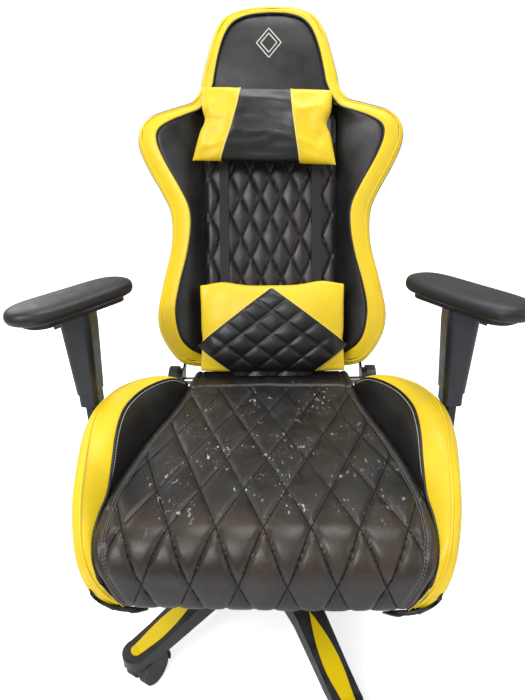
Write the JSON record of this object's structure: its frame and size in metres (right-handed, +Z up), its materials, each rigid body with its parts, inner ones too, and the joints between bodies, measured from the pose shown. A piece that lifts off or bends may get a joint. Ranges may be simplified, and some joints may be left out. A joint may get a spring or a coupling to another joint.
{
  "type": "gaming chair",
  "caption": "Racing-style gaming chair: winged bucket seat, reclining padded back with head and lumbar pillows, adjustable armrests and a gas lift on a star base with casters.",
  "frame": {"origin": "on the floor, under the swivel axis", "axes": "+Z up, the sitter faces -Y, +X to the right as seen from the front"},
  "size_m": [0.8098, 0.969, 1.0916],
  "materials": {
    "base_nylon": "satin",
    "insert_plastic": "gloss",
    "bright_steel": "satin",
    "cylinder_steel": "satin",
    "black_steel": "satin",
    "black_plastic": "satin",
    "sleeve_plastic": "satin",
    "black_leather": "satin",
    "yellow_leather": "satin",
    "webbing": "matte",
    "pad_rubber": "matte",
    "wheel_plastic": "matte"
  },
  "bodies": {
    "base": {"base_star": "base_nylon", "spoke_inserts": "insert_plastic", "caster_stems": "bright_steel", "lift_cylinder": "cylinder_steel", "dust_cover_lower": "black_plastic"},
    "dust_sleeve": {"dust_cover_middle": "black_plastic"},
    "spindle": {"lift_piston_rod": "bright_steel"},
    "mechanism": {"lift_tube": "bright_steel", "dust_cover_upper": "black_plastic", "mechanism_housing": "black_steel", "tilt_axle": "bright_steel", "tension_spring": "bright_steel"},
    "valve": {"lift_valve_pin": "bright_steel"},
    "bush": {"lever_bush": "black_plastic"},
    "lift_handle": {"lift_lever": "bright_steel", "lift_lever_grip": "black_plastic"},
    "knob": {"tension_knob": "black_plastic"},
    "seat": {"seat_plate": "black_steel", "seat_frame": "black_steel", "seat_webbing": "webbing", "seat_cushion": "black_leather", "seat_wing_left": "yellow_leather", "seat_wing_right": "yellow_leather", "mounting_bolts": "bright_steel", "recliner_plates": "black_steel", "recliner_shaft": "bright_steel", "recliner_covers": "black_plastic", "tension_bolt": "bright_steel", "arm_brackets": "black_steel"},
    "recline_handle": {"recline_lever": "black_steel", "recline_lever_grip": "black_plastic"},
    "back": {"back_plates": "black_steel", "back_frame": "black_steel", "back_cushion": "black_leather", "back_bolster_left": "yellow_leather", "back_bolster_right": "yellow_leather", "back_rear_cover": "black_leather", "harness_bezels": "black_plastic", "head_strap": "webbing", "lumbar_straps": "webbing"},
    "head_rest": {"head_pillow": "black_leather"},
    "lumbar_rest": {"lumbar_pillow": "yellow_leather"},
    "arm_left": {"arm_sleeve_left": "sleeve_plastic"},
    "arm_right": {"arm_sleeve_right": "sleeve_plastic"},
    "trigger_left": {"arm_trigger_left": "black_plastic"},
    "trigger_right": {"arm_trigger_right": "black_plastic"},
    "pad_left": {"arm_pad_plate_left": "black_plastic", "arm_pad_left": "pad_rubber"},
    "pad_right": {"arm_pad_plate_right": "black_plastic", "arm_pad_right": "pad_rubber"},
    "caster_1": {"caster_1_hood": "black_plastic"},
    "wheels_1": {"caster_1_wheels": "wheel_plastic"},
    "caster_2": {"caster_2_hood": "black_plastic"},
    "wheels_2": {"caster_2_wheels": "wheel_plastic"},
    "caster_3": {"caster_3_hood": "black_plastic"},
    "wheels_3": {"caster_3_wheels": "wheel_plastic"},
    "caster_4": {"caster_4_hood": "black_plastic"},
    "wheels_4": {"caster_4_wheels": "wheel_plastic"},
    "caster_5": {"caster_5_hood": "black_plastic"},
    "wheels_5": {"caster_5_wheels": "wheel_plastic"}
  },
  "joints": [
    {"name": "seat_swivel", "type": "hinge", "parent": "base", "child": "spindle", "pos_m": [0, 0, 0], "axis": [0, 0, 1], "continuous": true},
    {"name": "lift", "type": "slide", "parent": "spindle", "child": "mechanism", "axis": [0, 0, 1], "range_m": [0, 0.08]},
    {"name": "dust_slide", "type": "slide", "parent": "base", "child": "dust_sleeve", "axis": [0, 0, 1], "range_m": [0, 0.04]},
    {"name": "valve_press", "type": "slide", "parent": "mechanism", "child": "valve", "axis": [0, 0, -1], "range_m": [0, 0.0073]},
    {"name": "lift_lever_pull", "type": "hinge", "parent": "mechanism", "child": "bush", "pos_m": [-0.069, 0, 0.269], "axis": [0, 1, 0], "range_deg": [0, 6], "stiffness_Nm_per_rad": 6, "springref_deg": -5.73},
    {"name": "tilt_lock", "type": "slide", "parent": "bush", "child": "lift_handle", "axis": [-1, 0, 0], "range_m": [0, 0.012]},
    {"name": "tilt", "type": "hinge", "parent": "mechanism", "child": "seat", "pos_m": [0, -0.038, 0.271], "axis": [-1, 0, 0], "range_deg": [0, 12], "stiffness_Nm_per_rad": 250, "springref_deg": -20.05, "deforming": ["tension_spring"]},
    {"name": "tension_turn", "type": "hinge", "parent": "seat", "child": "knob", "pos_m": [0, -0.115, 0.16], "axis": [0, 0, 1], "range_deg": [-1080, 1080]},
    {"name": "recline", "type": "hinge", "parent": "seat", "child": "back", "pos_m": [0, 0.232, 0.362], "axis": [-1, 0, 0], "range_deg": [-10, 50]},
    {"name": "recline_pull", "type": "hinge", "parent": "seat", "child": "recline_handle", "pos_m": [0, 0.20057, 0.3319], "axis": [-1, 0, 0], "range_deg": [0, 25], "stiffness_Nm_per_rad": 2, "springref_deg": -17.19},
    {"name": "head_pillow_slide", "type": "slide", "parent": "back", "child": "head_rest", "axis": [0, 0.4384, 0.8988], "range_m": [-0.02, 0.015]},
    {"name": "lumbar_slide", "type": "slide", "parent": "back", "child": "lumbar_rest", "axis": [0, 0.4384, 0.8988], "range_m": [0, 0.1]},
    {"name": "arm_height_left", "type": "slide", "parent": "seat", "child": "arm_left", "axis": [0, 0.0645, 0.9979], "range_m": [-0.02, 0.05]},
    {"name": "arm_trigger_left", "type": "hinge", "parent": "arm_left", "child": "trigger_left", "pos_m": [-0.3385, 0.03348, 0.59924], "axis": [0, 0.9979, -0.0645], "range_deg": [0, 14], "stiffness_Nm_per_rad": 0.3, "springref_deg": -17.19},
    {"name": "pad_turn_left", "type": "hinge", "parent": "arm_left", "child": "pad_left", "pos_m": [-0.314, 0.03419, 0.61022], "axis": [0, 0.0645, 0.9979], "range_deg": [0, 60]},
    {"name": "arm_height_right", "type": "slide", "parent": "seat", "child": "arm_right", "axis": [0, 0.0645, 0.9979], "range_m": [-0.02, 0.05]},
    {"name": "arm_trigger_right", "type": "hinge", "parent": "arm_right", "child": "trigger_right", "pos_m": [0.3385, 0.03348, 0.59924], "axis": [0, -0.9979, 0.0645], "range_deg": [0, 14], "stiffness_Nm_per_rad": 0.3, "springref_deg": -17.19},
    {"name": "pad_turn_right", "type": "hinge", "parent": "arm_right", "child": "pad_right", "pos_m": [0.314, 0.03419, 0.61022], "axis": [0, 0.0645, 0.9979], "range_deg": [-60, 0]},
    {"name": "caster_1_swivel", "type": "hinge", "parent": "base", "child": "caster_1", "pos_m": [0.30333, 0.03188, 0.05], "axis": [0, 0, 1], "continuous": true},
    {"name": "caster_1_roll", "type": "hinge", "parent": "caster_1", "child": "wheels_1", "pos_m": [0.32047, 0.04218, 0.029], "axis": [-0.515, 0.8572, 0], "continuous": true},
    {"name": "caster_2_swivel", "type": "hinge", "parent": "base", "child": "caster_2", "pos_m": [0.06341, 0.29834, 0.05], "axis": [0, 0, 1], "continuous": true},
    {"name": "caster_2_roll", "type": "hinge", "parent": "caster_2", "child": "wheels_2", "pos_m": [0.05281, 0.28137, 0.029], "axis": [0.848, -0.5299, 0], "continuous": true},
    {"name": "caster_3_swivel", "type": "hinge", "parent": "base", "child": "caster_3", "pos_m": [-0.26414, 0.1525, 0.05], "axis": [0, 0, 1], "continuous": true},
    {"name": "caster_3_roll", "type": "hinge", "parent": "caster_3", "child": "wheels_3", "pos_m": [-0.27259, 0.13437, 0.029], "axis": [0.9063, -0.4226, 0], "continuous": true},
    {"name": "caster_4_swivel", "type": "hinge", "parent": "base", "child": "caster_4", "pos_m": [-0.22666, -0.20408, 0.05], "axis": [0, 0, 1], "continuous": true},
    {"name": "caster_4_roll", "type": "hinge", "parent": "caster_4", "child": "wheels_4", "pos_m": [-0.21727, -0.18643, 0.029], "axis": [-0.8829, 0.4695, 0], "continuous": true},
    {"name": "caster_5_swivel", "type": "hinge", "parent": "base", "child": "caster_5", "pos_m": [0.12405, -0.27863, 0.05], "axis": [0, 0, 1], "continuous": true},
    {"name": "caster_5_roll", "type": "hinge", "parent": "caster_5", "child": "wheels_5", "pos_m": [0.11854, -0.29786, 0.029], "axis": [0.9613, -0.2756, 0], "continuous": true}
  ],
  "couplings": [
    {"joint": "dust_slide", "follows": "lift", "ratio": 0.5},
    {"joint": "valve_press", "follows": "lift_lever_pull", "m_per_rad": 0.0688}
  ]
}
